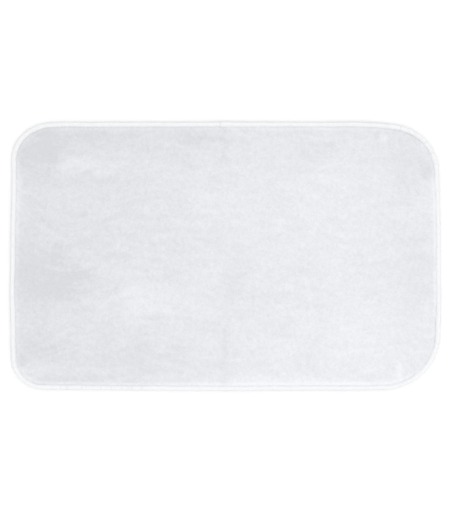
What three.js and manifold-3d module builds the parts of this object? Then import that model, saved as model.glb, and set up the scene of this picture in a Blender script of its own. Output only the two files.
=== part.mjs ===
// Plush bath mat with a bound edge: a pile fabric face over a foam core, with a
// non-slip sheet under it. The three layers are pressed together at the rim and
// held there by a folded tape, which is lockstitched through all the layers.
//
// Units are millimetres. The origin is on the floor under the middle of the mat:
// +X runs along the length to the right, +Y across the width to the back, +Z up.
// An "inset" is a distance in from the outer edge of the mat, all the way round.

import * as THREE from 'three';
import { mergeVertices } from 'three/addons/utils/BufferGeometryUtils.js';
import Module from 'manifold-3d';

const wasm = await Module();
wasm.setup();

// ---------------------------------------------------------------- dimensions

const LENGTH = 800;
const WIDTH = 500;
const THICKNESS = 14;

// The corners are cut by hand and each has its own radius.
const CORNER_RADIUS = { frontLeft: 59, frontRight: 102, backRight: 95, backLeft: 72 };

// How far the middle of each side stands out past the ends of its corners.
const SIDE_BOW = { front: 2.6, right: 1.3, back: 1.1, left: 0.9 };

const GAP = 0.3; // between pieces that touch
const ARC_STEPS = 6; // per side, even so that a bow has a point at its middle; a corner takes twice as many

// The folded tape, seen in section: a C that opens towards the middle of the mat.
const TAPE_THICKNESS = 1.0;
const TAPE_LEG = 10;
const TAPE_BOTTOM = 0.8;
const TAPE_TOP = 8.8;
const TAPE_FOLD_RADIUS = 3.6;

// The stitching that holds the tape: needle thread on top, bobbin thread below.
const THREAD_INSET = 8.1;
const THREAD_WIDTH = 0.8;
const THREAD_THICKNESS = 0.45;

// The three layers, inside the tape (rim) and in the open (field).
const SHEET_THICKNESS = 1.4;
const SHEET_RIM_THICKNESS = 0.9;
const SHEET_RISER_WIDTH = 1.5;
const FOAM_TOP = 9;
const FOAM_RIM_THICKNESS = 1.7;
const PLUSH_SKIRT_WIDTH = 2.5;
const PLUSH_ROLL_RADIUS = 5;

// ------------------------------------------------------------ derived values

const LAYER_INSET = TAPE_LEG + GAP; // where the layers come out of the tape
const RIM_INSET = TAPE_FOLD_RADIUS - 0.2; // where the layers end inside the tape

const sheetRimBottom = TAPE_BOTTOM + TAPE_THICKNESS + GAP;
const sheetRimTop = sheetRimBottom + SHEET_RIM_THICKNESS;
const foamRimBottom = sheetRimTop + GAP;
const foamRimTop = foamRimBottom + FOAM_RIM_THICKNESS;
const plushRimBottom = foamRimTop + GAP;
const plushRimTop = TAPE_TOP - TAPE_THICKNESS - GAP;

// ----------------------------------------------------------------- materials

function fabric(color, roughness) {
  return new THREE.MeshStandardMaterial({ color, roughness, metalness: 0 });
}

const plushMaterial = fabric(0xe8e9ed, 0.95);
const tapeMaterial = fabric(0xf7f8f9, 0.8);
const threadMaterial = fabric(0xf2f3f4, 0.6);
const foamMaterial = fabric(0xf0ead6, 0.9);
const sheetMaterial = fabric(0xd9dce0, 0.7);

// -------------------------------------------------------------- shape helpers

// The mat's outline, drawn in from its outer edge by an inset: four bowed sides
// joined by four corner arcs, anticlockwise from the front left corner.
function matOutline(inset) {
  const left = -LENGTH / 2 + SIDE_BOW.left + inset;
  const right = LENGTH / 2 - SIDE_BOW.right - inset;
  const front = -WIDTH / 2 + SIDE_BOW.front + inset;
  const back = WIDTH / 2 - SIDE_BOW.back - inset;
  const frontLeft = CORNER_RADIUS.frontLeft - inset;
  const frontRight = CORNER_RADIUS.frontRight - inset;
  const backRight = CORNER_RADIUS.backRight - inset;
  const backLeft = CORNER_RADIUS.backLeft - inset;
  const quarter = Math.PI / 2;

  const shape = new THREE.Shape();
  const bowTo = (x, y, outX, outY) => {
    // A quadratic curve reaches half way to its control point.
    const from = shape.currentPoint;
    const controlX = (from.x + x) / 2 + 2 * outX;
    const controlY = (from.y + y) / 2 + 2 * outY;
    shape.quadraticCurveTo(controlX, controlY, x, y);
  };

  shape.moveTo(left + frontLeft, front);
  bowTo(right - frontRight, front, 0, -SIDE_BOW.front);
  shape.absarc(right - frontRight, front + frontRight, frontRight, -quarter, 0);
  bowTo(right, back - backRight, SIDE_BOW.right, 0);
  shape.absarc(right - backRight, back - backRight, backRight, 0, quarter);
  bowTo(left + backLeft, back, 0, SIDE_BOW.back);
  shape.absarc(left + backLeft, back - backLeft, backLeft, quarter, 2 * quarter);
  bowTo(left, front + frontLeft, -SIDE_BOW.left, 0);
  shape.absarc(left + frontLeft, front + frontLeft, frontLeft, 2 * quarter, 3 * quarter);
  return shape;
}

function toSolid(geometry) {
  const bare = geometry.clone();
  bare.deleteAttribute('normal');
  bare.deleteAttribute('uv');
  const merged = mergeVertices(bare);
  const vertProperties = new Float32Array(merged.attributes.position.array);
  const triVerts = new Uint32Array(merged.index.array);
  return new wasm.Manifold(new wasm.Mesh({ numProp: 3, vertProperties, triVerts }));
}

// A plate with the mat's outline and upright sides.
function slab(inset, bottom, top) {
  const geometry = new THREE.ExtrudeGeometry(matOutline(inset), {
    depth: top - bottom,
    bevelEnabled: false,
    curveSegments: ARC_STEPS,
  });
  geometry.translate(0, 0, bottom);
  return toSolid(geometry);
}

// A plate with the mat's outline whose rim is rounded above and below.
function roundedSlab(inset, bottom, top, radius) {
  const geometry = new THREE.ExtrudeGeometry(matOutline(inset), {
    depth: top - bottom - 2 * radius,
    bevelThickness: radius,
    bevelSize: radius,
    bevelOffset: -radius,
    bevelSegments: 3,
    curveSegments: ARC_STEPS,
  });
  geometry.translate(0, 0, bottom + radius);
  return toSolid(geometry);
}

function blockAbove(bottom) {
  const geometry = new THREE.BoxGeometry(LENGTH * 2, WIDTH * 2, THICKNESS * 2);
  geometry.translate(0, 0, bottom + THICKNESS);
  return toSolid(geometry);
}

function namedMesh(name, solid, material) {
  const { vertProperties, triVerts } = solid.getMesh();
  const geometry = new THREE.BufferGeometry();
  geometry.setAttribute('position', new THREE.BufferAttribute(vertProperties, 3));
  geometry.setIndex(new THREE.BufferAttribute(triVerts, 1));
  geometry.computeVertexNormals();
  const mesh = new THREE.Mesh(geometry, material);
  mesh.name = name;
  return mesh;
}

// -------------------------------------------------------------------- pieces

// Non-slip sheet: it lies on the floor, and steps up at its rim into the tape.
function gripBacking() {
  const field = slab(LAYER_INSET, 0, sheetRimTop);
  const rim = slab(RIM_INSET, sheetRimBottom, sheetRimTop);
  const foamRoom = slab(LAYER_INSET + SHEET_RISER_WIDTH, SHEET_THICKNESS, THICKNESS);
  return namedMesh('grip_backing', field.add(rim).subtract(foamRoom), sheetMaterial);
}

// Foam core: full height in the field, pressed thin where the tape grips it.
function foamCore() {
  const fieldInset = LAYER_INSET + PLUSH_SKIRT_WIDTH + GAP;
  const field = slab(fieldInset, SHEET_THICKNESS + GAP, FOAM_TOP);
  const rim = slab(RIM_INSET, foamRimBottom, foamRimTop);
  return namedMesh('foam_core', field.add(rim), foamMaterial);
}

// Plush face: it lies over the foam, rolls down round it and goes into the tape.
function plushFace() {
  const rolled = roundedSlab(LAYER_INSET, plushRimBottom - PLUSH_ROLL_RADIUS, THICKNESS, PLUSH_ROLL_RADIUS);
  const rim = slab(RIM_INSET, plushRimBottom, plushRimTop);
  const foamRoom = slab(LAYER_INSET + PLUSH_SKIRT_WIDTH, 0, FOAM_TOP + GAP);
  const cap = rolled.intersect(blockAbove(plushRimBottom)).add(rim).subtract(foamRoom);
  return namedMesh('plush_face', cap, plushMaterial);
}

// Binding tape: folded round the rim of the three layers.
function edgeBinding() {
  const outside = roundedSlab(0, TAPE_BOTTOM, TAPE_TOP, TAPE_FOLD_RADIUS);
  const channel = roundedSlab(
    TAPE_THICKNESS,
    TAPE_BOTTOM + TAPE_THICKNESS,
    TAPE_TOP - TAPE_THICKNESS,
    TAPE_FOLD_RADIUS - TAPE_THICKNESS,
  );
  const opening = slab(TAPE_LEG, -THICKNESS, THICKNESS);
  return namedMesh('edge_binding', outside.subtract(channel).subtract(opening), tapeMaterial);
}

// One thread of the lockstitch, drawn as the closed line that its stitches follow.
function seamThread(name, bottom) {
  const outer = slab(THREAD_INSET, bottom, bottom + THREAD_THICKNESS);
  const inner = slab(THREAD_INSET + THREAD_WIDTH, -THICKNESS, THICKNESS);
  return namedMesh(name, outer.subtract(inner), threadMaterial);
}

// --------------------------------------------------------------------- mat

const bathMat = new THREE.Group();
bathMat.add(gripBacking());
bathMat.add(foamCore());
bathMat.add(plushFace());
bathMat.add(edgeBinding());
bathMat.add(seamThread('needle_thread', TAPE_TOP + GAP));
bathMat.add(seamThread('bobbin_thread', TAPE_BOTTOM - GAP - THREAD_THICKNESS));

export default bathMat;
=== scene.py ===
"""The looks of the plush bath mat: pile face, bound edge, lockstitching, foam and non-slip underside.

Every length is in metres in the CAD frame: the floor is z = 0, +X runs along the mat, +Y to its back.
An inset is a distance in from the outer edge of the mat. Along is the distance round that edge.
"""

import math

import bpy
import numpy as np
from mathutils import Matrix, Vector
from mathutils.bvhtree import BVHTree
from mathutils.geometry import delaunay_2d_cdt
from mathutils.kdtree import KDTree


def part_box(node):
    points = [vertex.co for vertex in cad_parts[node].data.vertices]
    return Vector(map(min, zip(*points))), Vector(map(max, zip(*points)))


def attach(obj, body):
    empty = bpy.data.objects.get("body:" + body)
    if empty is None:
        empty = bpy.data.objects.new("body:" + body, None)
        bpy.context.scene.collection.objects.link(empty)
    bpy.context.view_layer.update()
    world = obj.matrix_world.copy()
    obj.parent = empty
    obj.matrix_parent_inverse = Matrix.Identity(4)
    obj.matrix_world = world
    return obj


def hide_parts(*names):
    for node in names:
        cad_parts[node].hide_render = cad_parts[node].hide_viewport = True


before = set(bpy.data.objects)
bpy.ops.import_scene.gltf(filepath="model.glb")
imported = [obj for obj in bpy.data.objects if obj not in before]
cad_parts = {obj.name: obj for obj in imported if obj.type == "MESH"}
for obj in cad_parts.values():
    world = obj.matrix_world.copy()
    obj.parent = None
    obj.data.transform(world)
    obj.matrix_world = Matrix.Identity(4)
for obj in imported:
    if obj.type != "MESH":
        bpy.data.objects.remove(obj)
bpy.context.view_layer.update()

MM = 0.001

# ---------------------------------------------------------------- dimensions

# The outline, as the CAD model draws it inside the box of the bound edge.
CORNER_RADII = {
    "front_left": 59 * MM,
    "front_right": 102 * MM,
    "back_right": 95 * MM,
    "back_left": 72 * MM,
}
SIDE_BOWS = {"front": 2.6 * MM, "right": 1.3 * MM, "back": 1.1 * MM, "left": 0.9 * MM}
HAND_WOBBLE = 0.5 * MM

# Where the hand-guided edge runs inside the drawn outline, or outside it (below 0):
# x and y of the place, its reach along the edge and how far the edge is drawn in.
EDGE_PULLS = [
    (325 * MM, 246 * MM, 40 * MM, 3.2 * MM),
    (240 * MM, 249 * MM, 35 * MM, -0.8 * MM),
    (-300 * MM, 249 * MM, 35 * MM, -1.2 * MM),
    (-350 * MM, 243 * MM, 35 * MM, 1.3 * MM),
    (-399 * MM, 130 * MM, 60 * MM, 1.5 * MM),
    (-400 * MM, -65 * MM, 35 * MM, -1.8 * MM),
    (399 * MM, 150 * MM, 60 * MM, 1.7 * MM),
    (399 * MM, -100 * MM, 60 * MM, -1.5 * MM),
    (250 * MM, -248 * MM, 60 * MM, -1.1 * MM),
]

edge_low, edge_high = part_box("edge_binding")
_, plush_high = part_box("plush_face")
foam_low, foam_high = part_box("foam_core")
needle_low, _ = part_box("needle_thread")

PILE_TOP = plush_high.z
TAPE_TOP = edge_high.z
TAPE_BOTTOM = edge_low.z

# The edge is worked out at stations this far apart.
STATION_STEP = 1 * MM

# The tape, folded over the edge: two flat legs and the rounded fold that joins them.
TAPE_LEG = 10 * MM
TAPE_THICKNESS = 0.7 * MM
TAPE_FOLD = 4.2 * MM
TAPE_CROWN = 0.7 * MM
FOLD_HEIGHT = 3.9 * MM

# The tape's end laps over its start. It climbs between LAP_START and LAP_END before the join.
JOIN_X = 6 * MM
LAP = 16 * MM
LAP_RISE = TAPE_THICKNESS + 0.05 * MM
LAP_START = 6 * MM
LAP_END = 1 * MM

# The stitches lie in a dip of the tape, so their seam is STITCH_SINK inside its faces.
SEAM_INSET = needle_low.x - edge_low.x + 0.4 * MM
STITCH_LENGTH = 4 * MM
STITCH_RADIUS = 0.36 * MM
STITCH_SINK = 0.45 * MM

# Threads and grip dots are round, with this many sides.
ROUND_SIDES = 8

# The pile: a field of scattered points from FIELD_INSET inwards, and the roll of its edge outside that.
PILE_SPACING = 2.3 * MM
GROUND_SPACING = 12 * MM
FIELD_INSET = 24 * MM
FIELD_TOP = PILE_TOP - 0.2 * MM
GAP = 0.3 * MM
EDGE_WAVE = 0.5 * MM
TANGLE = 0.2 * MM
PILE_LEAN = (1.5 * MM, -0.5 * MM)

# Painted light on the pile: how much lighter it is on its raised clumps, at its splayed edge and on each
# side facing this way.
PAINTED_CLUMP_LIGHT = 0.25
PAINTED_EDGE_HIGHLIGHT = 0.5
LIT_SIDE = (0.05, -0.2)

# The hidden layers and the dots under them.
FOAM_EDGE_HIGH = 5 * MM
FOAM_EDGE_RISE = 1.6 * MM
GRIP_THICKNESS = 0.7 * MM
GRIP_EDGE_LOW = 2.1 * MM
DOT_HEIGHT = 0.6 * MM
DOT_RADIUS = 1.5 * MM
DOT_PITCH = 10 * MM
DOT_SINK = 0.2 * MM
DOT_INSET = 16 * MM

# The trial cloth that finds how the face settles.
SETTLE_FRAMES = 25
SETTLE_CAP = 1.5 * MM
CLOTH_CELL = 16 * MM
CLOTH_DROP = 1.5 * MM
CLOTH_BUMPS = 0.3 * MM
CLOTH_GAP = 0.5 * MM
CLOTH_FULLNESS = 0.0015

# The corners of a flat square that reaches 1 metre each way.
SQUARE = ((-1, -1), (1, -1), (1, 1), (-1, 1))

# The studio. The picture is taller than it is wide, and takes in this much of the floor's depth.
SEEN_DEPTH = 0.965
CAMERA_OVER = (-1.1 * MM, -5 * MM)
LENS_MM = 85
SENSOR_MM = 36
SKY_STRENGTH = 1.0
FLOOR_HALF = 6.0
FLOOR_BELOW = 0.2 * MM
KEY_PLACE = (0.9, -1.0, 3.2)
KEY_SIZE = 1.4
KEY_WATTS = 12


# ------------------------------------------------------------------- outline

def bowed_side(start, end, bow, count):
    """A side that stands out by bow at its middle."""
    t = np.linspace(0, 1, count, endpoint=False)[:, None]
    start, end = np.array(start), np.array(end)
    run = (end - start) / np.linalg.norm(end - start)
    outward = np.array([run[1], -run[0]])
    return start + t * (end - start) + 4 * t * (1 - t) * bow * outward


def corner(centre, radius, first_degrees, count):
    """A quarter circle, anticlockwise."""
    angle = np.radians(first_degrees) + np.linspace(0, np.pi / 2, count, endpoint=False)
    return np.array(centre) + radius * np.stack([np.cos(angle), np.sin(angle)], axis=1)


def raw_outline(count=400):
    """The outer edge, anticlockwise from the end of the front left corner, with uneven steps."""
    left = edge_low.x + SIDE_BOWS["left"]
    right = edge_high.x - SIDE_BOWS["right"]
    front = edge_low.y + SIDE_BOWS["front"]
    back = edge_high.y - SIDE_BOWS["back"]
    fl, fr = CORNER_RADII["front_left"], CORNER_RADII["front_right"]
    br, bl = CORNER_RADII["back_right"], CORNER_RADII["back_left"]
    return np.concatenate([
        bowed_side((left + fl, front), (right - fr, front), SIDE_BOWS["front"], count),
        corner((right - fr, front + fr), fr, -90, count),
        bowed_side((right, front + fr), (right, back - br), SIDE_BOWS["right"], count),
        corner((right - br, back - br), br, 0, count),
        bowed_side((right - br, back), (left + bl, back), SIDE_BOWS["back"], count),
        corner((left + bl, back - bl), bl, 90, count),
        bowed_side((left, back - bl), (left, front + fl), SIDE_BOWS["left"], count),
        corner((left + fl, front + fl), fl, 180, count),
    ])


def evenly_spaced(loop, step):
    """The closed loop again, with points an even step apart, and the step that was used.
    The number of points divides by 8, so that coarser rings can take every second or eighth."""
    closed = np.concatenate([loop, loop[:1]])
    along = np.concatenate([[0], np.cumsum(np.linalg.norm(np.diff(closed, axis=0), axis=1))])
    count = 8 * round(along[-1] / step / 8)
    at = np.arange(count) * along[-1] / count
    points = np.stack([np.interp(at, along, closed[:, k]) for k in range(2)], axis=1)
    return points, along[-1] / count


def edge_pull(points):
    """How far the edge is drawn in at points on the outline."""
    total = np.zeros(len(points))
    for x, y, reach, pull in EDGE_PULLS:
        away = np.hypot(points[:, 0] - x, points[:, 1] - y) / reach
        total += pull * np.exp(-away * away)
    return total


def outward_normals(loop):
    tangent = np.roll(loop, -1, axis=0) - np.roll(loop, 1, axis=0)
    tangent /= np.linalg.norm(tangent, axis=1, keepdims=True)
    return np.stack([tangent[:, 1], -tangent[:, 0]], axis=1)


# --------------------------------------------------------------------- noise

def smooth_noise(points, size, seed):
    """Gradient noise from about -1 to 1 at 2D points, with features about size across."""
    at = points / size
    cell = np.floor(at).astype(np.int64)
    part = at - cell
    ease = part * part * part * (part * (part * 6 - 15) + 10)

    def pull(dx, dy):
        key = (cell[:, 0] + dx) * 374761393 + (cell[:, 1] + dy) * 668265263 + seed * 974634777
        key = key & 0xFFFFFFFF
        key = ((key ^ (key >> 13)) * 1274126177) & 0xFFFFFFFF
        angle = ((key ^ (key >> 16)) & 0xFFFFFFFF) / 2**32 * 2 * np.pi
        return (part[:, 0] - dx) * np.cos(angle) + (part[:, 1] - dy) * np.sin(angle)

    near = pull(0, 0) * (1 - ease[:, 0]) + pull(1, 0) * ease[:, 0]
    far = pull(0, 1) * (1 - ease[:, 0]) + pull(1, 1) * ease[:, 0]
    return 1.6 * (near * (1 - ease[:, 1]) + far * ease[:, 1])


def layered_noise(points, size, seed, layers=3):
    """Smooth noise with finer and fainter layers added, from about -1 to 1."""
    total = sum(smooth_noise(points, size / 2**k, seed + k) / 1.8**k for k in range(layers))
    return total / sum(1 / 1.8**k for k in range(layers))


def smooth_step(low, high, value):
    t = np.clip((value - low) / (high - low), 0, 1)
    return t * t * (3 - 2 * t)


rim, rim_step = evenly_spaced(raw_outline(), STATION_STEP)
rim_normals = outward_normals(rim)
rim = rim + rim_normals * (HAND_WOBBLE * layered_noise(rim, 90 * MM, 3) - edge_pull(rim))[:, None]
rim_along = np.arange(len(rim)) * rim_step
rim_length = len(rim) * rim_step
stitch_count = round(rim_length / STITCH_LENGTH)
stitch_pitch = rim_length / stitch_count
join_station = int(np.argmin(np.hypot(rim[:, 0] - JOIN_X, rim[:, 1] - edge_high.y)))

rim_tree = KDTree(len(rim))
for i, point in enumerate(rim):
    rim_tree.insert((point[0], point[1], 0), i)
rim_tree.balance()


def inset_of(points):
    """How far in from the outer edge each 2D point is, and the nearest station's number."""
    nearest = np.array([rim_tree.find((x, y, 0))[1] for x, y in points])
    out = points - rim[nearest]
    return -(out * rim_normals[nearest]).sum(axis=1), nearest


def ring(inset):
    """The stations moved in from the edge. inset is one number or one for each station."""
    return rim - rim_normals * np.broadcast_to(inset, len(rim))[:, None]


# ------------------------------------------------------------ how the mat lies

def lift(points):
    """How far the mat stands off the floor at 2D points: its rim isn't pressed quite flat."""
    inset, _ = inset_of(points)
    near_rim = smooth_step(60 * MM, 0, inset)
    wave = np.clip(0.35 + layered_noise(points, 170 * MM, 21, 2), 0, 1)
    from_join = np.hypot(points[:, 0] - JOIN_X, points[:, 1] - edge_high.y)
    return 1.3 * MM * near_rim * wave + 0.6 * MM * near_rim * smooth_step(50 * MM, 20 * MM, from_join)


# ------------------------------------------------------------- mesh from points

def new_piece(name, vertices, faces, material, smooth=True, attributes=None):
    """A mesh object with values stored at its points for its material to read."""
    mesh = bpy.data.meshes.new(name)
    mesh.from_pydata(np.asarray(vertices, float).tolist(), [], [list(map(int, f)) for f in faces])
    mesh.validate()
    for label, values in (attributes or {}).items():
        stored = mesh.attributes.new(label, "FLOAT", "POINT")
        stored.data.foreach_set("value", np.asarray(values, np.float32))
    mesh.polygons.foreach_set("use_smooth", [smooth] * len(mesh.polygons))
    if material:
        mesh.materials.append(material)
    mesh.update()
    piece = bpy.data.objects.new(name, mesh)
    bpy.context.scene.collection.objects.link(piece)
    return piece


def fill(points, border_count):
    """Triangles over 2D points, inside the closed loop that the first border_count of them make."""
    border = [(i, (i + 1) % border_count) for i in range(border_count)]
    flat = [Vector(p) for p in points.tolist()]
    _, _, faces, sources, _, _ = delaunay_2d_cdt(flat, border, [list(range(border_count))], 1, 1e-7)
    return np.array([[sources[i][0] for i in f] for f in faces])


def honeycomb(spacing):
    """2D points an even spacing apart over the whole box of the mat."""
    columns = np.arange(edge_low.x, edge_high.x, spacing)
    rows = np.arange(edge_low.y, edge_high.y, spacing * math.sqrt(3) / 2)
    x, y = np.meshgrid(columns, rows)
    x = x + spacing / 2 * (np.arange(len(rows)) % 2)[:, None]
    return np.stack([x.ravel(), y.ravel()], axis=1)


def scattered(spacing, inset, seed):
    """A jittered honeycomb of 2D points all over the mat that is at least inset from its edge."""
    random = np.random.default_rng(seed)
    points = honeycomb(spacing)
    points += random.uniform(-0.3, 0.3, points.shape) * spacing
    depth, _ = inset_of(points)
    return points[depth > inset]


def tube_faces(stations, profile):
    """Quads over a ring of stations that each hold a closed profile."""
    s, p = np.meshgrid(np.arange(stations), np.arange(profile), indexing="ij")
    s, p = s.ravel(), p.ravel()
    here, there = s * profile, (s + 1) % stations * profile
    next_p = (p + 1) % profile
    return np.stack([here + p, there + p, there + next_p, here + next_p], axis=1)


def stack_faces(first, levels):
    """Quads round a stack of rings of points, with both ends closed. first is its first point."""
    last = first + (levels - 1) * ROUND_SIDES
    faces = []
    for start in range(first, last, ROUND_SIDES):
        for side in range(ROUND_SIDES):
            a = start + side
            b = start + (side + 1) % ROUND_SIDES
            faces.append((a, b, b + ROUND_SIDES, a + ROUND_SIDES))
    faces.append(tuple(first + side for side in reversed(range(ROUND_SIDES))))
    faces.append(tuple(last + side for side in range(ROUND_SIDES)))
    return faces


# ------------------------------------------------------- settling of the face cloth

def trial_cloth():
    """The face cloth before it settles: a little above the foam, cut full and sewn down at its rim."""
    start = foam_high.z + CLOTH_DROP
    border = ring(TAPE_LEG)[::16]
    flat = np.concatenate([border, scattered(CLOTH_CELL, TAPE_LEG + 12 * MM, 11)])
    faces = fill(flat, len(border))
    bumps = CLOTH_BUMPS * layered_noise(flat, 80 * MM, 12)
    cloth = new_piece("cloth_trial", np.column_stack([flat, start + bumps]), faces, None)
    sewn = cloth.vertex_groups.new(name="sewn")
    sewn.add(list(range(len(border))), 1.0, "REPLACE")
    modifier = cloth.modifiers.new("cloth", "CLOTH")
    modifier.settings.quality = 6
    modifier.settings.mass = 0.2
    modifier.settings.bending_stiffness = 20
    modifier.settings.shrink_min = -CLOTH_FULLNESS
    modifier.settings.vertex_group_mass = "sewn"
    modifier.collision_settings.distance_min = CLOTH_GAP
    return cloth


def trial_foam():
    """The top of the foam, for the trial cloth to settle on."""
    corners = [(x, y, foam_high.z) for x, y in SQUARE]
    foam = new_piece("foam_trial", corners, [(0, 1, 2, 3)], None)
    foam.modifiers.new("collision", "COLLISION")
    foam.collision.thickness_outer = CLOTH_GAP
    foam.collision.cloth_friction = 20
    return foam


def settled_heights(points):
    """How much higher or lower the face cloth lies at 2D points, after it has settled on the foam.
    It is cut a little full and sewn down at the edge, so it lies in low, wide swells."""
    cloth = trial_cloth()
    foam = trial_foam()
    scene = bpy.context.scene
    for number in range(1, SETTLE_FRAMES + 1):
        scene.frame_set(number)
    cloth.modifiers.new("smooth", "SUBSURF").levels = 2
    tree = BVHTree.FromObject(cloth, bpy.context.evaluated_depsgraph_get())
    heights = np.array([cloth_height(tree, x, y) for x, y in points])
    for trial in (cloth, foam):
        bpy.data.objects.remove(trial)
    scene.frame_set(1)
    return np.clip(heights - np.median(heights), -SETTLE_CAP, SETTLE_CAP)


def cloth_height(tree, x, y):
    """How far the trial cloth lies above the foam at one place, and 0 outside the cloth."""
    above = Vector((x, y, foam_high.z + 50 * MM))
    hit, _, _, _ = tree.ray_cast(above, Vector((0, 0, -1)))
    return hit.z - foam_high.z if hit else 0.0


# ----------------------------------------------------------------- materials

class Nodes:
    """A small helper that adds nodes to one material and links them."""

    def __init__(self, name):
        self.material = bpy.data.materials.new(name)
        self.material.use_nodes = True
        self.tree = self.material.node_tree
        self.surface = self.tree.nodes["Principled BSDF"]

    def add(self, kind, **settings):
        node = self.tree.nodes.new(kind)
        for key, value in settings.items():
            if hasattr(node, key):
                setattr(node, key, value)
            else:
                node.inputs[key.replace("_", " ")].default_value = value
        return node

    def link(self, output, target):
        self.tree.links.new(output, target)

    def value_at_points(self, label):
        return self.add("ShaderNodeAttribute", attribute_name=label).outputs["Fac"]

    def place(self, scale=(1, 1, 1)):
        """The point in the CAD frame, in metres, stretched by scale."""
        where = self.add("ShaderNodeTexCoord").outputs["Object"]
        mapping = self.add("ShaderNodeMapping")
        mapping.inputs["Scale"].default_value = scale
        self.link(where, mapping.inputs["Vector"])
        return mapping.outputs["Vector"]

    def noise(self, size, detail=2.0, stretch=(1, 1, 1)):
        """Noise from 0 to 1 with features about size across."""
        node = self.add("ShaderNodeTexNoise", Scale=1 / size, Detail=detail, Roughness=0.6)
        self.link(self.place(stretch), node.inputs["Vector"])
        return node.outputs["Fac"]

    def tufts(self, size, stray):
        """0 in the middle of each tuft of fibre and about 1 in the gaps. Fibres stray over their edges."""
        wander = self.add("ShaderNodeTexNoise", Scale=1 / size, Detail=3)
        self.link(self.place(), wander.inputs["Vector"])
        shift = self.add("ShaderNodeVectorMath", operation="MULTIPLY_ADD")
        self.link(wander.outputs["Color"], shift.inputs[0])
        shift.inputs[1].default_value = (stray, stray, stray)
        self.link(self.place(), shift.inputs[2])
        cells = self.add("ShaderNodeTexVoronoi", feature="SMOOTH_F1", Scale=1 / size)
        cells.inputs["Smoothness"].default_value = 0.35
        self.link(shift.outputs["Vector"], cells.inputs["Vector"])
        return cells.outputs["Distance"]

    def between(self, value, low, high):
        """value from 0 to 1, moved to run from low to high."""
        node = self.add("ShaderNodeMapRange")
        node.inputs["To Min"].default_value = low
        node.inputs["To Max"].default_value = high
        self.link(value, node.inputs["Value"])
        return node.outputs["Result"]

    def sum_of(self, *values):
        total = values[0]
        for value in values[1:]:
            node = self.add("ShaderNodeMath", operation="ADD")
            self.link(total, node.inputs[0])
            self.link(value, node.inputs[1])
            total = node.outputs[0]
        return total

    def product_of(self, first, second):
        node = self.add("ShaderNodeMath", operation="MULTIPLY")
        self.link(first, node.inputs[0])
        self.link(second, node.inputs[1])
        return node.outputs[0]

    def waves(self, value, pitch):
        """0 to 1 and back once in each pitch of value."""
        turn = self.add("ShaderNodeMath", operation="MULTIPLY")
        turn.inputs[1].default_value = 2 * math.pi / pitch
        self.link(value, turn.inputs[0])
        sine = self.add("ShaderNodeMath", operation="SINE")
        self.link(turn.outputs[0], sine.inputs[0])
        node = self.add("ShaderNodeMapRange")
        node.inputs["From Min"].default_value = -1
        self.link(sine.outputs[0], node.inputs["Value"])
        return node.outputs["Result"]

    def colour(self, value, dark, light):
        """Base colour from dark at 0 to light at 1."""
        ramp = self.add("ShaderNodeValToRGB")
        ramp.color_ramp.elements[0].color = (*dark, 1)
        ramp.color_ramp.elements[1].color = (*light, 1)
        self.link(value, ramp.inputs["Fac"])
        self.link(ramp.outputs["Color"], self.surface.inputs["Base Color"])

    def bump(self, value, height):
        node = self.add("ShaderNodeBump", Distance=height, Strength=1.0)
        self.link(value, node.inputs["Height"])
        self.link(node.outputs["Normal"], self.surface.inputs["Normal"])

    def finish(self, **sockets):
        for name, value in sockets.items():
            self.surface.inputs[name.replace("_", " ")].default_value = value
        return self.material


def pile_material():
    """Short plush: brushed patches painted as light and shade, tufts of fibre with shaded gaps between
    them, and a soft sheen.
    """
    n = Nodes("plush_pile")
    # The pile's painted light and shade from its lean, its edge and its clumps, stored at its points.
    brushed = n.between(n.value_at_points("painted_nap_shading"), 0.0, 1.0)
    clumps = n.between(n.noise(6 * MM, 4), -0.28, 0.3)
    tufts = n.tufts(2.4 * MM, 1.2 * MM)
    strands = n.product_of(n.noise(0.7 * MM, 3, (1, 0.3, 1)), n.noise(0.6 * MM, 3, (0.35, 1, 1)))
    n.colour(n.sum_of(brushed, clumps, n.between(tufts, 0.16, -0.08), n.between(strands, -0.15, 0.35)),
             (0.66, 0.666, 0.695), (0.86, 0.868, 0.9))
    n.bump(n.sum_of(n.between(tufts, 1, 0), n.between(strands, 0, 0.8)), 0.4 * MM)
    return n.finish(Roughness=0.95, Sheen_Weight=0.2, Sheen_Roughness=0.5, Specular_IOR_Level=0.2)


def tape_material():
    """Ribbed polyester tape: ribs run across the tape, with a fine weft between them.
    Painted shade greys it from the turn of the fold down to the floor, and painted shade darkens the
    creases of its gathers."""
    n = Nodes("binding_tape")
    ribs = n.waves(n.value_at_points("along"), 1.3 * MM)
    weft = n.waves(n.value_at_points("across"), 0.7 * MM)
    slubs = n.noise(6 * MM, 2)
    # Painted shade: grey from the turn of the fold down to the floor, 8.5 to 11.5 mm across the tape,
    # broken by noise.
    painted_tape_edge_shade = n.add("ShaderNodeMapRange")
    painted_tape_edge_shade.inputs["From Min"].default_value = 8.5 * MM
    painted_tape_edge_shade.inputs["From Max"].default_value = 11.5 * MM
    n.link(n.value_at_points("across"), painted_tape_edge_shade.inputs["Value"])
    grey = n.product_of(painted_tape_edge_shade.outputs["Result"], n.between(n.noise(5 * MM, 3), -0.4, -0.95))
    # Painted shade in the creases where the tape is gathered.
    painted_crease_shade = n.between(n.value_at_points("crease"), 0, -0.8)
    n.colour(n.sum_of(n.between(slubs, 0.45, 0.85), n.between(ribs, 0, 0.2), grey, painted_crease_shade),
             (0.74, 0.745, 0.76), (0.945, 0.95, 0.96))
    n.bump(n.sum_of(ribs, n.between(weft, 0, 0.5)), 0.12 * MM)
    return n.finish(Roughness=0.75, Sheen_Weight=0.15, Sheen_Roughness=0.4, Specular_IOR_Level=0.3)


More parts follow.
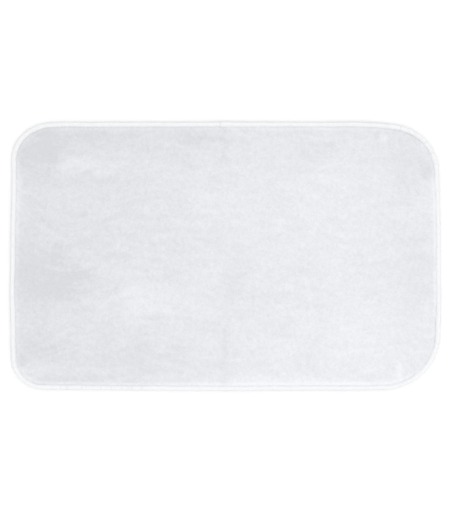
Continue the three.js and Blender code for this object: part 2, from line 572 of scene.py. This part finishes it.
def thread_material():
    """Twisted polyester sewing thread."""
    n = Nodes("sewing_thread")
    twist = n.waves(n.sum_of(n.value_at_points("along"), n.value_at_points("across")), 0.5 * MM)
    n.colour(n.sum_of(n.between(twist, 0.2, 0.7), n.between(n.noise(3 * MM), -0.2, 0.3)),
             (0.82, 0.83, 0.85), (0.95, 0.955, 0.965))
    n.bump(twist, 0.06 * MM)
    return n.finish(Roughness=0.5, Sheen_Weight=0.1)


def foam_material():
    """Open-cell foam, cream white."""
    n = Nodes("soft_foam")
    cells = n.add("ShaderNodeTexVoronoi", Scale=1 / (1.4 * MM))
    n.link(n.place(), cells.inputs["Vector"])
    mottle = n.noise(20 * MM)
    n.colour(n.sum_of(n.between(mottle, 0.3, 0.8), n.between(cells.outputs["Distance"], -0.2, 0.1)),
             (0.78, 0.73, 0.58), (0.9, 0.87, 0.76))
    n.bump(cells.outputs["Distance"], 0.3 * MM)
    return n.finish(Roughness=0.9)


def grip_sheet_material():
    """Knitted polyester backing cloth, pale grey."""
    n = Nodes("grip_sheet")
    where = n.add("ShaderNodeSeparateXYZ")
    n.link(n.place(), where.inputs[0])
    knit = n.product_of(n.waves(where.outputs["X"], 3.6 * MM), n.waves(where.outputs["Y"], 2.8 * MM))
    n.colour(n.sum_of(n.between(knit, 0, 0.6), n.between(n.noise(15 * MM), 0, 0.4)),
             (0.55, 0.565, 0.59), (0.78, 0.79, 0.81))
    n.bump(n.sum_of(knit, n.between(n.noise(1 * MM), 0, 0.3)), 0.35 * MM)
    return n.finish(Roughness=0.85)


def grip_dot_material():
    """Soft moulded grip dots, slightly glossy."""
    n = Nodes("grip_dots")
    n.colour(n.noise(9 * MM, 3), (0.74, 0.75, 0.77), (0.86, 0.87, 0.88))
    n.bump(n.noise(0.8 * MM), 0.03 * MM)
    return n.finish(Roughness=0.4, Specular_IOR_Level=0.5)


# ---------------------------------------------------------------- plush face

# Where the pile has been stroked the wrong way (below 0, painted shade) or laid smooth (above 0, painted
# light):
# middle x and y, half width, half depth and strength.
PAINTED_NAP_PATCHES = [
    (-340 * MM, -38 * MM, 64 * MM, 66 * MM, -0.55),
    (-285 * MM, -55 * MM, 60 * MM, 30 * MM, -0.3),
    (-352 * MM, 185 * MM, 38 * MM, 46 * MM, -0.5),
    (-300 * MM, 205 * MM, 66 * MM, 26 * MM, -0.2),
    (-190 * MM, 222 * MM, 60 * MM, 10 * MM, -0.3),
    (-350 * MM, -165 * MM, 46 * MM, 34 * MM, -0.28),
    (-200 * MM, -190 * MM, 150 * MM, 22 * MM, -0.18),
    (-55 * MM, 218 * MM, 40 * MM, 10 * MM, -0.4),
    (165 * MM, 195 * MM, 40 * MM, 26 * MM, -0.25),
    (372 * MM, 157 * MM, 14 * MM, 14 * MM, -0.4),
    (345 * MM, 160 * MM, 50 * MM, 44 * MM, -0.3),
    (18 * MM, -48 * MM, 24 * MM, 30 * MM, -0.3),
    (350 * MM, -30 * MM, 44 * MM, 76 * MM, -0.3),
    (-152 * MM, -84 * MM, 70 * MM, 36 * MM, 0.42),
    (-260 * MM, 170 * MM, 85 * MM, 11 * MM, 0.3),
    (-250 * MM, 134 * MM, 90 * MM, 12 * MM, -0.12),
    (-205 * MM, 2 * MM, 42 * MM, 8 * MM, -0.3),
    (-30 * MM, 90 * MM, 44 * MM, 40 * MM, 0.2),
    (-384 * MM, 115 * MM, 9 * MM, 48 * MM, 0.35),
    (-358 * MM, 75 * MM, 15 * MM, 48 * MM, -0.25),
    (230 * MM, -155 * MM, 80 * MM, 60 * MM, 0.2),
    (110 * MM, -236 * MM, 190 * MM, 12 * MM, 0.4),
    (-270 * MM, -236 * MM, 120 * MM, 12 * MM, -0.25),
    (-366 * MM, 215 * MM, 22 * MM, 10 * MM, 0.3),
    (293 * MM, 219 * MM, 7 * MM, 13 * MM, 0.5),
    (281 * MM, 224 * MM, 5 * MM, 9 * MM, -0.35),
    (323 * MM, -212 * MM, 7 * MM, 14 * MM, 0.5),
    (-340 * MM, -208 * MM, 34 * MM, 20 * MM, 0.35),
    (-380 * MM, -192 * MM, 9 * MM, 12 * MM, -0.45),
]
# Patches whose half width and half depth add up to less than this are warped less.
PATCH_STAYS_PUT = 80 * MM

# Where the pile has drawn back from the tape, or spread over it (below 0):
# x and y of the place, its reach along the edge and how far.
PILE_EDGES = [
    (-399 * MM, 85 * MM, 95 * MM, -1.3 * MM),
    (-399 * MM, -85 * MM, 95 * MM, -1.3 * MM),
    (388 * MM, -160 * MM, 65 * MM, 1.6 * MM),
    (338 * MM, -232 * MM, 36 * MM, 0.8 * MM),
    (355 * MM, 228 * MM, 60 * MM, 1 * MM),
    (392 * MM, 170 * MM, 35 * MM, 1 * MM),
]
FOLD_X = -2 * MM
# Painted shade in the pile's colour along the crease where the mat was folded.
PAINTED_FOLD_SHADE = 0.2
STROKE_STRETCH = 4.5

# How much lighter the pile is painted towards the right, and darker at the right end and the back: painted
# light and shade.
PAINTED_SHADING_MIDDLE = -0.1
PAINTED_LIGHT_SIDE_TO_SIDE = 0.3
PAINTED_SHADE_RIGHT_END = 0.1
PAINTED_SHADE_BACK = 0.25


def fold_line(points):
    """1 on the faint crease where the mat was folded in half, 0 away from it."""
    down_the_fold = np.column_stack([points[:, 1], np.zeros(len(points))])
    wander = 12 * MM * layered_noise(down_the_fold, 55 * MM, 31, 3)
    across = (points[:, 0] - FOLD_X - wander) / (9 * MM)
    front = smooth_step(-95 * MM, -140 * MM, points[:, 1])
    back = 0.8 * smooth_step(160 * MM, 185 * MM, points[:, 1])
    broken = np.clip(0.8 + layered_noise(points, 28 * MM, 32, 2), 0, 1.4)
    return np.exp(-across * across) * (front + back) * broken


def strokes(points, size, seed, degrees=0.0):
    """Noise in long streaks, as a hand leaves in the pile. They run along X, turned by degrees."""
    turn = np.radians(degrees + 14 * layered_noise(points, 220 * MM, seed + 1, 2))
    lengthwise = points[:, 0] * np.cos(turn) + points[:, 1] * np.sin(turn)
    across = points[:, 1] * np.cos(turn) - points[:, 0] * np.sin(turn)
    return layered_noise(np.column_stack([lengthwise / STROKE_STRETCH, across]), size, seed, 3)


def painted_nap_shading_at(points):
    """The light and shade of the pile's lean, painted into its colour at 2D points, from about -1, dark,
    to 1, light.
    """
    feather = strokes(points, 13 * MM, 41)
    coarse = np.stack([layered_noise(points, 60 * MM, 42), layered_noise(points, 60 * MM, 43)], axis=1)
    at = points + 16 * MM * coarse + np.outer(feather, [34 * MM, 8 * MM])
    painted_nap_shading = PAINTED_LIGHT_SIDE_TO_SIDE * np.tanh((points[:, 0] + 40 * MM) / (200 * MM)) + PAINTED_SHADING_MIDDLE
    right_end = smooth_step(200 * MM, 400 * MM, points[:, 0])
    back = smooth_step(120 * MM, 240 * MM, points[:, 1])
    painted_nap_shading -= PAINTED_SHADE_RIGHT_END * right_end + PAINTED_SHADE_BACK * back
    painted_nap_shading += 0.16 * layered_noise(at, 120 * MM, 44) + 0.33 * feather
    painted_nap_shading += 0.22 * strokes(points, 8 * MM, 45, -35) + 0.16 * strokes(points, 7 * MM, 47, 80)
    for x, y, half_width, half_depth, strength in PAINTED_NAP_PATCHES:
        ragged = min(1, (half_width + half_depth) / PATCH_STAYS_PUT)
        near = points + ragged ** 2 * (at - points)
        away = ((near[:, 0] - x) / half_width) ** 2 + ((near[:, 1] - y) / half_depth) ** 2
        painted_nap_shading += strength * np.exp(-away ** 1.6)
    # Painted shade along the crease of the fold.
    return painted_nap_shading - PAINTED_FOLD_SHADE * fold_line(points)


def pile_relief(points, seed=51):
    """The height of the pile's clumps and brushed patches over its mean."""
    random = np.random.default_rng(seed)
    clumps = 0.5 * MM * layered_noise(points, 9 * MM, 52, 2)
    tips = 0.1 * MM * random.uniform(-1.7, 1.7, len(points))
    brushed = 0.3 * MM * strokes(points, 16 * MM, 53)
    return clumps + tips + brushed - 0.3 * MM * fold_line(points)


def pile_section():
    """(inset, height) pairs from inside the tape, up out of the seam and over the roll to the field."""
    tongue = [(4.5 * MM, 6.4 * MM), (7 * MM, 6.5 * MM), (9.2 * MM, 6.9 * MM)]
    rise = [(9.7 * MM, 8.2 * MM), (9.2 * MM, 9.1 * MM), (9.7 * MM, 10.3 * MM)]
    over = [(11.1 * MM, 11.4 * MM), (13.2 * MM, 12.3 * MM), (15.8 * MM, 13 * MM), (18.7 * MM, 13.5 * MM)]
    return tongue + rise + over + [(21.9 * MM, FIELD_TOP)]


def pile_draw_back(points):
    """How far the edge of the pile has drawn back from the tape at 2D points."""
    total = np.zeros(len(points))
    for x, y, reach, back in PILE_EDGES:
        away = np.hypot(points[:, 0] - x, points[:, 1] - y) / reach
        total += back * np.exp(-away ** 4)
    return total


def flat_rings(section):
    """The rings of the pile's edge with the roll pressed flat, so that none of them overlap."""
    steps = np.hypot(*np.diff(np.array(section), axis=0).T)
    insets = FIELD_INSET - 2 * MM - np.append(np.cumsum(steps[::-1])[::-1], 0)
    return [ring(inset)[::2] for inset in insets]


def pile_points(section, field):
    """The pile's 2D points and heights: the rings of its edge, and then its field."""
    down_the_edge = np.column_stack([rim_along, rim_along * 0])
    wavy = EDGE_WAVE * layered_noise(down_the_edge, 25 * MM, 62)[::2]
    places, heights = [], []
    for number, (inset, height) in enumerate(section):
        share = number / (len(section) - 1)
        places.append(ring(inset)[::2] - rim_normals[::2] * (wavy * (1 - share))[:, None])
        heights.append(np.full(len(wavy), height))
    places = np.concatenate(places + [field])
    heights = np.concatenate(heights + [np.full(len(field), FIELD_TOP)])
    return places, heights


def pile_under_side(outer_ring, first_new):
    """The ground cloth's points inside outer_ring, and its faces. Its new points count from first_new."""
    count = len(outer_ring)
    field = scattered(GROUND_SPACING, FIELD_INSET, 64)
    faces = fill(np.concatenate([outer_ring, field]), count)[:, ::-1]
    faces = np.where(faces < count, faces, faces - count + first_new)
    return np.column_stack([field, foam_high.z + GAP + lift(field)]), faces


def pile_shift(places, heights, shows, relief, depth, nearest, drawn_back):
    """How far the pile's points move sideways: tangled, spread over the tape and leaning."""
    random = np.random.default_rng(63)
    tangle = TANGLE * random.uniform(-1, 1, places.shape) * np.clip(shows, 0, 1)[:, None]
    outward = np.clip(relief, 0, None) * smooth_step(16 * MM, 11 * MM, depth)
    outward -= drawn_back * smooth_step(22 * MM, 12 * MM, depth) * smooth_step(7 * MM, 9 * MM, depth)
    raised = smooth_step(TAPE_TOP - MM, PILE_TOP - 2 * MM, heights)
    return tangle + rim_normals[nearest] * outward[:, None] + np.array(PILE_LEAN) * raised[:, None]


def painted_edge_light_and_shade(depth, nearest, drawn_back):
    """A painted highlight where the pile splays at its edge, painted light on edges that face LIT_SIDE,
    and painted shade where a gap shades it.
    """
    facing = rim_normals[nearest] @ np.array(LIT_SIDE)
    shaded = np.clip(drawn_back, 0, None) / (3 * MM)
    return (PAINTED_EDGE_HIGHLIGHT + facing - shaded) * smooth_step(18 * MM, 13 * MM, depth)


def make_pile(material):
    """The plush face as one closed cloth: pile on top and its ground cloth under it."""
    section = pile_section()
    rings = flat_rings(section)
    field = scattered(PILE_SPACING, FIELD_INSET, 61)
    top_faces = fill(np.concatenate(rings + [field]), len(rings[0]))

    places, heights = pile_points(section, field)
    depth, nearest = inset_of(places)
    shows = smooth_step(8.5 * MM, 12 * MM, depth) + 0.25 * smooth_step(9 * MM, 9.5 * MM, depth)
    relief = pile_relief(places) * np.clip(shows, 0, 1)
    swell = settled_heights(places) * smooth_step(12 * MM, 45 * MM, depth)
    heights = heights + relief + swell + lift(places)
    drawn_back = pile_draw_back(places)
    places = places + pile_shift(places, heights, shows, relief, depth, nearest, drawn_back)

    under, under_faces = pile_under_side(rings[0], len(places))
    vertices = np.concatenate([np.column_stack([places, heights]), under])
    faces = np.concatenate([top_faces, under_faces])
    # Painted light and shade for the pile's colour: its lean and fold, its edge, and painted light on its
    # raised clumps.
    painted_nap_shading = painted_nap_shading_at(places) + painted_edge_light_and_shade(depth, nearest, drawn_back) + PAINTED_CLUMP_LIGHT * relief / (0.6 * MM)
    painted_nap_shading = np.append(painted_nap_shading, np.zeros(len(under)))
    return new_piece("plush_pile", vertices, faces, material, attributes={"painted_nap_shading": 0.5 + 0.5 * painted_nap_shading})


# -------------------------------------------------------------- edge binding

# Where the tape is gathered into small folds: x, y and reach.
GATHERED_PLACES = [
    (366 * MM, 220 * MM, 62 * MM),
    (-240 * MM, -249 * MM, 85 * MM),
]
GATHER_SIZE = 7 * MM
GATHER_HEIGHT = 0.5 * MM


def tape_section():
    """The tape's folded section, its outer face and then its inner one, as a closed loop.
    Each row is inset and height, and then the inset and height of the direction that faces out."""
    rows = []
    for inward, leg_points, fold_points in ((0, 7, 11), (TAPE_THICKNESS, 3, 7)):
        top, bottom = TAPE_TOP - inward, TAPE_BOTTOM + inward
        radius = TAPE_FOLD - inward
        legs = np.linspace(TAPE_LEG, TAPE_FOLD, leg_points, endpoint=False)
        face = [(inset, top, 0, 1) for inset in legs]
        for turn in np.linspace(np.pi / 2, 3 * np.pi / 2, fold_points):
            out, up = math.cos(turn), math.sin(turn)
            reach = top - FOLD_HEIGHT if up > 0 else FOLD_HEIGHT - bottom
            face.append((TAPE_FOLD + radius * out, FOLD_HEIGHT + reach * up, out, up))
        face += [(inset, bottom, 0, -1) for inset in legs[::-1]]
        rows += face if inward == 0 else face[::-1]
    return np.array(rows)


def gathers():
    """The small folds of the gathered tape, from about -1 to 1 at each station, and 0 elsewhere."""
    share = np.zeros(len(rim))
    for x, y, reach in GATHERED_PLACES:
        away = np.hypot(rim[:, 0] - x, rim[:, 1] - y) / reach
        share += np.exp(-away ** 4)
    return share * along_edge(GATHER_SIZE, 76)


def seam_dip(inset):
    """1 at the line of stitches, 0 away from it."""
    return np.exp(-((inset - SEAM_INSET) / (1.5 * MM)) ** 2)


def along_edge(size, seed, layers=2):
    """Noise at each station along the edge."""
    return layered_noise(np.column_stack([rim_along, rim_along * 0 + seed]), size, seed, layers)


def lap_rise(along):
    """0 along the tape and 1 where its end has climbed on to its start."""
    return smooth_step(rim_length - LAP_START, rim_length - LAP_END, along)


def tape_line(row, stations, raised, gathered):
    """The inset and height of one line of the tape at each station, with its puckers and stitches."""
    inset, height, out, up = row
    stitched = 0.5 - 0.5 * np.cos(2 * np.pi * rim_along / stitch_pitch)
    leg = smooth_step(3 * MM, TAPE_LEG, inset)
    side = 1 if up >= 0 else -1
    dip = seam_dip(inset) * (0.7 * MM - 0.3 * MM * stitched)
    pucker = leg * (0.22 * MM * along_edge(9 * MM, 71) + 0.2 * MM * along_edge(30 * MM, 72))
    crown = TAPE_CROWN * smooth_step(TAPE_LEG, 4.5 * MM, inset) * max(up, 0)
    lip = leg * (0.45 * MM * along_edge(22 * MM, 73) + 0.15 * MM * along_edge(6 * MM, 74))
    slack = 0.2 * MM * along_edge(14 * MM, 75) * (1 - leg)
    folds = GATHER_HEIGHT * gathered * (1 - seam_dip(inset))
    moved_inset = inset + (lip + slack - folds * max(-out, 0))[stations] + raised * out
    moved_height = height + (pucker - side * dip + folds * max(up, 0))[stations] + crown + raised * up
    return moved_inset, moved_height


def make_tape(material):
    """One long strip, folded over the edge. It starts at the join, and its end laps over its start."""
    steps = np.arange(len(rim) + round(LAP / rim_step))
    stations = (join_station + steps) % len(rim)
    along = steps * rim_step
    raised = LAP_RISE * lap_rise(along)
    section = tape_section()
    base = lift(rim)[stations]
    gathered = gathers()
    columns = []
    for row in section:
        inset, height = tape_line(row, stations, raised, gathered)
        place = rim[stations] - rim_normals[stations] * inset[:, None]
        columns.append(np.column_stack([place, height + base]))
    vertices = np.stack(columns, axis=1).reshape(-1, 3)
    count = len(section)
    sides = tube_faces(len(steps), count)[:-count]
    cap = fill(section[:, :2], count)
    end = cap[:, ::-1] + count * (len(steps) - 1)
    faces = sides.tolist() + cap.tolist() + end.tolist()
    gaps = np.hypot(*np.diff(section[:, :2], axis=0).T)
    across = np.tile(np.append(0, np.cumsum(gaps)), len(steps))
    # Where the gathered tape folds in, for the painted shade in its creases.
    crease = np.repeat(np.clip(-gathered[stations], 0, 1), count)
    return new_piece("binding_tape", vertices, faces, material,
                     attributes={"along": np.repeat(along, count), "across": across, "crease": crease})


# ------------------------------------------------------------------ stitching

# One stitch, from where it comes up to where it goes down: the share of the stitch's length,
# the height over the seam and the share of the thread's full radius.
STITCH_ARCH = [
    (0.05, -0.8 * MM, 0.75),
    (0.14, -0.05 * MM, 1.0),
    (0.3, 0.22 * MM, 1.0),
    (0.5, 0.3 * MM, 1.0),
    (0.7, 0.22 * MM, 1.0),
    (0.86, -0.05 * MM, 1.0),
    (0.95, -0.8 * MM, 0.75),
]


def seam_base(up):
    """How much higher the seam lies at each station, from the lift of the mat and the lapped tape."""
    past_join = (rim_along - join_station * rim_step) % rim_length
    lap = np.where(past_join < LAP, 1, lap_rise(past_join))
    return lift(rim) + up * LAP_RISE * lap


def make_stitches(name, seam_height, up, material):
    """A row of lockstitches. Each one rises out of the tape, lies along it and dives back in."""
    turn = np.arange(ROUND_SIDES) * 2 * np.pi / ROUND_SIDES
    wander = 0.15 * MM * along_edge(8 * MM, 81)
    base = seam_base(up)
    points, along, faces = [], [], []
    for number in range(stitch_count):
        faces += stack_faces(len(points), len(STITCH_ARCH))
        for share, height, size in STITCH_ARCH:
            at = (number + share) * stitch_pitch
            radius = size * STITCH_RADIUS
            station = int(at / rim_step) % len(rim)
            outward = rim_normals[station]
            forward = np.array([-outward[1], outward[0]])
            slip = at - station * rim_step
            centre = rim[station] + forward * slip - outward * (SEAM_INSET + wander[station])
            z = seam_height + base[station] + up * height
            for angle in turn:
                x, y = centre + outward * math.cos(angle) * radius
                points.append((x, y, z + math.sin(angle) * radius))
                along.append(at)
    across = np.tile(turn * STITCH_RADIUS, stitch_count * len(STITCH_ARCH))
    return new_piece(name, points, faces, material, attributes={"along": along, "across": across})


# ------------------------------------------------------------- hidden layers

# How far in from a layer's own edge its rings of points lie.
LAYER_STEPS = (0, 2 * MM, 4.5 * MM, 6.5 * MM, 8.5 * MM, 11 * MM)
LAYER_INSET = 4 * MM


def layer(name, spacing, outer_inset, low_of, high_of, seed, material):
    """A closed sheet or pad whose lower and upper heights are given by its inset."""
    border = [ring(outer_inset + step)[::4] for step in LAYER_STEPS]
    count = len(border[0])
    flat = np.concatenate(border + [scattered(spacing, outer_inset + LAYER_STEPS[-1] + spacing / 2, seed)])
    faces = fill(flat, count)
    depth, _ = inset_of(flat)
    raised = lift(flat)
    low = np.column_stack([flat, low_of(depth) + raised])
    high = np.column_stack([flat, high_of(depth) + raised])
    total = len(flat)
    edge = np.arange(count)
    after = (edge + 1) % count
    walls = np.stack([edge, after, after + total], axis=1)
    more_walls = np.stack([edge, after + total, edge + total], axis=1)
    all_faces = np.concatenate([faces[:, ::-1], faces + total, walls, more_walls])
    return new_piece(name, np.concatenate([low, high]), all_faces, material)


def make_foam(material):
    """The foam, pressed thin where the tape holds its edge."""
    def low(depth):
        return foam_low.z + FOAM_EDGE_RISE * smooth_step(13 * MM, 9 * MM, depth)

    def high(depth):
        return FOAM_EDGE_HIGH + (foam_high.z - FOAM_EDGE_HIGH) * smooth_step(9.5 * MM, 15 * MM, depth)

    return layer("foam_pad", 7 * MM, LAYER_INSET, low, high, 91, material)


def make_grip_sheet(material):
    """The non-slip sheet, which stands on its dots and climbs into the tape at its edge."""
    def low(depth):
        return DOT_HEIGHT + (GRIP_EDGE_LOW - DOT_HEIGHT) * smooth_step(12.5 * MM, 9.5 * MM, depth)

    def high(depth):
        return low(depth) + GRIP_THICKNESS

    return layer("grip_sheet", 6 * MM, LAYER_INSET, low, high, 92, material)


def make_grip_dots(material):
    """Small domes moulded on the underside of the grip sheet, in a honeycomb."""
    centres = honeycomb(DOT_PITCH)
    depth, _ = inset_of(centres)
    centres = centres[depth > DOT_INSET]
    turn = np.arange(ROUND_SIDES) * 2 * np.pi / ROUND_SIDES
    circle = np.stack([np.cos(turn), np.sin(turn)], axis=1)
    rings = [(1.0, DOT_HEIGHT + DOT_SINK), (0.92, 0.35 * DOT_HEIGHT), (0.55, 0.06 * DOT_HEIGHT)]
    points = [
        np.column_stack([centre + circle * share * DOT_RADIUS, np.full(ROUND_SIDES, height + up)])
        for centre, up in zip(centres, lift(centres))
        for share, height in rings
    ]
    faces = []
    for number in range(len(centres)):
        stack = stack_faces(number * ROUND_SIDES * len(rings), len(rings))
        faces += [face[::-1] for face in stack]
    return new_piece("grip_dots", np.concatenate(points), faces, material)


# ------------------------------------------------------------------ the mat

def make_mat():
    thread = thread_material()
    pile = make_pile(pile_material())
    tape = make_tape(tape_material())
    needle = make_stitches("needle_stitches", TAPE_TOP - STITCH_SINK, 1, thread)
    bobbin = make_stitches("bobbin_stitches", TAPE_BOTTOM + STITCH_SINK, -1, thread)
    foam = make_foam(foam_material())
    sheet = make_grip_sheet(grip_sheet_material())
    dots = make_grip_dots(grip_dot_material())

    for piece, node, slot in (
        (pile, "plush_face", "plush_pile"),
        (tape, "edge_binding", "binding_tape"),
        (needle, "needle_thread", "sewing_thread"),
        (bobbin, "bobbin_thread", "sewing_thread"),
        (foam, "foam_core", "soft_foam"),
        (sheet, "grip_backing", "grip_sheet"),
        (dots, "grip_backing", "grip_sheet"),
    ):
        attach(piece, "root")
        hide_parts(node)


# -------------------------------------------------------------------- studio

def floor_material():
    n = Nodes("studio_floor")
    n.colour(n.noise(0.4, 2), (0.965, 0.965, 0.965), (0.98, 0.98, 0.98))
    return n.finish(Roughness=1.0, Specular_IOR_Level=0.0)


def make_floor():
    corners = [(x * FLOOR_HALF, y * FLOOR_HALF, -FLOOR_BELOW) for x, y in SQUARE]
    floor = new_piece("floor", corners, [(0, 1, 2, 3)], floor_material(), smooth=False)


def make_light(name, place, size, watts):
    """A round lamp that points at the middle of the mat."""
    light = bpy.data.lights.new(name, "AREA")
    light.shape = "DISK"
    light.size = size
    light.energy = watts
    lamp = bpy.data.objects.new(name, light)
    lamp.location = place
    lamp.rotation_mode = "QUATERNION"
    lamp.rotation_quaternion = (-Vector(place)).to_track_quat("-Z", "Y")
    bpy.context.scene.collection.objects.link(lamp)


def make_studio():
    make_floor()
    world = bpy.data.worlds.new("studio")
    world.use_nodes = True
    world.node_tree.nodes["Background"].inputs["Color"].default_value = (1, 1, 1, 1)
    world.node_tree.nodes["Background"].inputs["Strength"].default_value = SKY_STRENGTH
    bpy.context.scene.world = world
    make_light("key", KEY_PLACE, KEY_SIZE, KEY_WATTS)
    bpy.context.scene.view_settings.view_transform = "Standard"


def make_camera():
    """Straight above the mat, which sits a little above the middle of the picture."""
    camera = bpy.data.cameras.new("camera")
    camera.lens = LENS_MM
    camera.sensor_width = SENSOR_MM
    distance = SEEN_DEPTH * LENS_MM / SENSOR_MM
    eye = bpy.data.objects.new("camera", camera)
    eye.location = (*CAMERA_OVER, distance + TAPE_TOP / 2)
    bpy.context.scene.collection.objects.link(eye)
    bpy.context.scene.camera = eye


make_mat()
make_studio()
make_camera()
